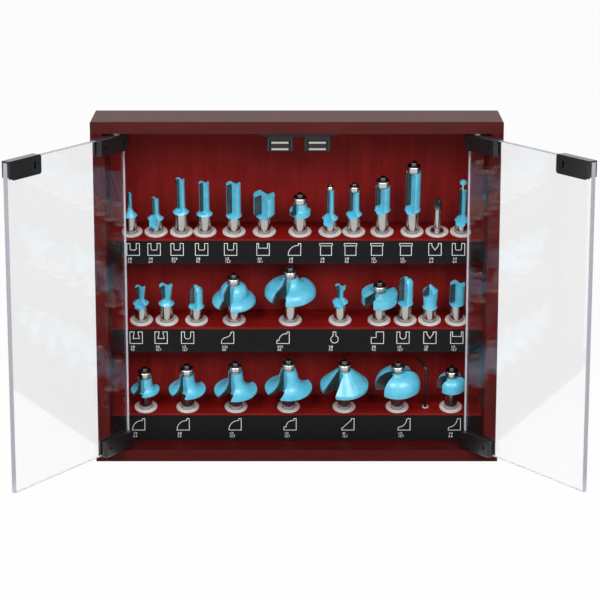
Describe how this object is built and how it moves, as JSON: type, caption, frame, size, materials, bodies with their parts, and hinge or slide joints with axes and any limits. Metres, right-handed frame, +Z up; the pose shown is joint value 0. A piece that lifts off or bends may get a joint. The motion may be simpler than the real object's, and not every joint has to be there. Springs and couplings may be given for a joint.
{
  "type": "router bit display cabinet",
  "caption": "Shallow wooden wall or bench cabinet with two inset glass doors on pivot hinges, three sloped shelf blocks with bushings, and the coated router bits that stand in them.",
  "frame": {"origin": "centre of the cabinet's bottom face", "axes": "+X to the right seen from the front, +Y from the doors to the back, +Z up"},
  "size_m": [0.5156, 0.2059, 0.3255],
  "materials": {
    "wood": "stained and lacquered, satin",
    "label": "printed film",
    "bushing": "moulded, slightly milky",
    "bright_steel": "bright",
    "latch": "moulded",
    "black_metal": "black, satin",
    "pane_glass": "clear, polished edges",
    "cutter": "blue non-stick coating over steel, bare shank",
    "tool_steel": "blackened"
  },
  "bodies": {
    "cabinet": {"top_panel": "wood", "bottom_panel": "wood", "left_side": "wood", "right_side": "wood", "back_panel": "wood", "upper_shelf": "wood", "middle_shelf": "wood", "lower_shelf": "wood", "upper_label": "label", "middle_label": "label", "lower_label": "label", "shank_bushings": "bushing", "key_ring": "bushing", "reducer": "bright_steel", "catch_housing": "latch", "catch_screws": "bright_steel", "pivot_bushings": "bright_steel"},
    "left_door": {"left_pane": "pane_glass", "left_top_hinge": "black_metal", "left_bottom_hinge": "black_metal", "left_set_screws": "black_metal", "left_strike": "black_metal"},
    "right_door": {"right_pane": "pane_glass", "right_top_hinge": "black_metal", "right_bottom_hinge": "black_metal", "right_set_screws": "black_metal", "right_strike": "black_metal"},
    "left_plunger": {"left_plunger": "latch"},
    "right_plunger": {"right_plunger": "latch"},
    "straight_1_8": {"straight_1_8": "cutter"},
    "straight_1_4": {"straight_1_4": "cutter"},
    "straight_5_16": {"straight_5_16": "cutter"},
    "straight_3_8": {"straight_3_8": "cutter"},
    "straight_1_2": {"straight_1_2": "cutter"},
    "straight_3_4": {"straight_3_4": "cutter"},
    "rounding_1_8": {"rounding_1_8": "cutter"},
    "flush_trim_1_4": {"flush_trim_1_4": "cutter"},
    "flush_trim_3_8": {"flush_trim_3_8": "cutter"},
    "flush_trim_1_2": {"flush_trim_1_2": "cutter"},
    "flush_trim_1_2_long": {"flush_trim_1_2_long": "cutter"},
    "veining": {"veining": "cutter"},
    "panel_pilot_1_4": {"panel_pilot_1_4": "cutter"},
    "dovetail_3_8": {"dovetail_3_8": "cutter"},
    "dovetail_1_2": {"dovetail_1_2": "cutter"},
    "core_box": {"core_box": "cutter"},
    "roman_ogee": {"roman_ogee": "cutter"},
    "classical_ogee": {"classical_ogee": "cutter"},
    "keyhole": {"keyhole": "cutter"},
    "rabbeting": {"rabbeting": "cutter"},
    "round_nose": {"round_nose": "cutter"},
    "v_groove": {"v_groove": "cutter"},
    "mortising": {"mortising": "cutter"},
    "rounding_1_4": {"rounding_1_4": "cutter"},
    "rounding_3_8": {"rounding_3_8": "cutter"},
    "rounding_1_2": {"rounding_1_2": "cutter"},
    "beading_1_2": {"beading_1_2": "cutter"},
    "chamfer_45": {"chamfer_45": "cutter"},
    "cove_1_2": {"cove_1_2": "cutter"},
    "cove_1_4": {"cove_1_4": "cutter"},
    "hex_key": {"hex_key": "tool_steel"}
  },
  "joints": [
    {"name": "left_door_hinge", "type": "hinge", "parent": "cabinet", "child": "left_door", "pos_m": [-0.1663, -0.02825, 0.1625], "axis": [0, 0, 1], "range_deg": [-13.6, 121.4]},
    {"name": "right_door_hinge", "type": "hinge", "parent": "cabinet", "child": "right_door", "pos_m": [0.1663, -0.02825, 0.1625], "axis": [0, 0, -1], "range_deg": [-11.6, 123.4]},
    {"name": "left_latch_press", "type": "slide", "parent": "cabinet", "child": "left_plunger", "axis": [0, 1, 0], "range_m": [0, 0.003], "stiffness_N_per_m": 400, "springref_m": -0.002},
    {"name": "right_latch_press", "type": "slide", "parent": "cabinet", "child": "right_plunger", "axis": [0, 1, 0], "range_m": [0, 0.003], "stiffness_N_per_m": 400, "springref_m": -0.002},
    {"name": "straight_1_8_lift", "type": "slide", "parent": "cabinet", "child": "straight_1_8", "axis": [0, -0.3256, 0.9455], "range_m": [0, 0.016]},
    {"name": "straight_1_4_lift", "type": "slide", "parent": "cabinet", "child": "straight_1_4", "axis": [0, -0.3256, 0.9455], "range_m": [0, 0.016]},
    {"name": "straight_5_16_lift", "type": "slide", "parent": "cabinet", "child": "straight_5_16", "axis": [0, -0.3256, 0.9455], "range_m": [0, 0.016]},
    {"name": "straight_3_8_lift", "type": "slide", "parent": "cabinet", "child": "straight_3_8", "axis": [0, -0.3256, 0.9455], "range_m": [0, 0.016]},
    {"name": "straight_1_2_lift", "type": "slide", "parent": "cabinet", "child": "straight_1_2", "axis": [0, -0.3256, 0.9455], "range_m": [0, 0.016]},
    {"name": "straight_3_4_lift", "type": "slide", "parent": "cabinet", "child": "straight_3_4", "axis": [0, -0.3256, 0.9455], "range_m": [0, 0.016]},
    {"name": "rounding_1_8_lift", "type": "slide", "parent": "cabinet", "child": "rounding_1_8", "axis": [0, -0.3256, 0.9455], "range_m": [0, 0.016]},
    {"name": "flush_trim_1_4_lift", "type": "slide", "parent": "cabinet", "child": "flush_trim_1_4", "axis": [0, -0.3256, 0.9455], "range_m": [0, 0.016]},
    {"name": "flush_trim_3_8_lift", "type": "slide", "parent": "cabinet", "child": "flush_trim_3_8", "axis": [0, -0.3256, 0.9455], "range_m": [0, 0.016]},
    {"name": "flush_trim_1_2_lift", "type": "slide", "parent": "cabinet", "child": "flush_trim_1_2", "axis": [0, -0.3256, 0.9455], "range_m": [0, 0.016]},
    {"name": "flush_trim_1_2_long_lift", "type": "slide", "parent": "cabinet", "child": "flush_trim_1_2_long", "axis": [0, -0.3256, 0.9455], "range_m": [0, 0.016]},
    {"name": "veining_lift", "type": "slide", "parent": "cabinet", "child": "veining", "axis": [0, -0.3256, 0.9455], "range_m": [0, 0.016]},
    {"name": "panel_pilot_1_4_lift", "type": "slide", "parent": "cabinet", "child": "panel_pilot_1_4", "axis": [0, -0.3256, 0.9455], "range_m": [0, 0.016]},
    {"name": "dovetail_3_8_lift", "type": "slide", "parent": "cabinet", "child": "dovetail_3_8", "axis": [0, -0.3256, 0.9455], "range_m": [0, 0.016]},
    {"name": "dovetail_1_2_lift", "type": "slide", "parent": "cabinet", "child": "dovetail_1_2", "axis": [0, -0.3256, 0.9455], "range_m": [0, 0.016]},
    {"name": "core_box_lift", "type": "slide", "parent": "cabinet", "child": "core_box", "axis": [0, -0.3256, 0.9455], "range_m": [0, 0.016]},
    {"name": "roman_ogee_lift", "type": "slide", "parent": "cabinet", "child": "roman_ogee", "axis": [0, -0.3256, 0.9455], "range_m": [0, 0.0107]},
    {"name": "classical_ogee_lift", "type": "slide", "parent": "cabinet", "child": "classical_ogee", "axis": [0, -0.3256, 0.9455], "range_m": [0, 0.003]},
    {"name": "keyhole_lift", "type": "slide", "parent": "cabinet", "child": "keyhole", "axis": [0, -0.3256, 0.9455], "range_m": [0, 0.016]},
    {"name": "rabbeting_lift", "type": "slide", "parent": "cabinet", "child": "rabbeting", "axis": [0, -0.3256, 0.9455], "range_m": [0, 0.016]},
    {"name": "round_nose_lift", "type": "slide", "parent": "cabinet", "child": "round_nose", "axis": [0, -0.3256, 0.9455], "range_m": [0, 0.0143]},
    {"name": "v_groove_lift", "type": "slide", "parent": "cabinet", "child": "v_groove", "axis": [0, -0.3256, 0.9455], "range_m": [0, 0.016]},
    {"name": "mortising_lift", "type": "slide", "parent": "cabinet", "child": "mortising", "axis": [0, -0.3256, 0.9455], "range_m": [0, 0.016]},
    {"name": "rounding_1_4_lift", "type": "slide", "parent": "cabinet", "child": "rounding_1_4", "axis": [0, -0.3256, 0.9455], "range_m": [0, 0.016]},
    {"name": "rounding_3_8_lift", "type": "slide", "parent": "cabinet", "child": "rounding_3_8", "axis": [0, -0.3256, 0.9455], "range_m": [0, 0.016]},
    {"name": "rounding_1_2_lift", "type": "slide", "parent": "cabinet", "child": "rounding_1_2", "axis": [0, -0.3256, 0.9455], "range_m": [0, 0.016]},
    {"name": "beading_1_2_lift", "type": "slide", "parent": "cabinet", "child": "beading_1_2", "axis": [0, -0.3256, 0.9455], "range_m": [0, 0.0153]},
    {"name": "chamfer_45_lift", "type": "slide", "parent": "cabinet", "child": "chamfer_45", "axis": [0, -0.3256, 0.9455], "range_m": [0, 0.0149]},
    {"name": "cove_1_2_lift", "type": "slide", "parent": "cabinet", "child": "cove_1_2", "axis": [0, -0.3256, 0.9455], "range_m": [0, 0.0159]},
    {"name": "cove_1_4_lift", "type": "slide", "parent": "cabinet", "child": "cove_1_4", "axis": [0, -0.3256, 0.9455], "range_m": [0, 0.016]},
    {"name": "hex_key_lift", "type": "slide", "parent": "cabinet", "child": "hex_key", "axis": [0, -0.3256, 0.9455], "range_m": [0, 0.0073]}
  ]
}
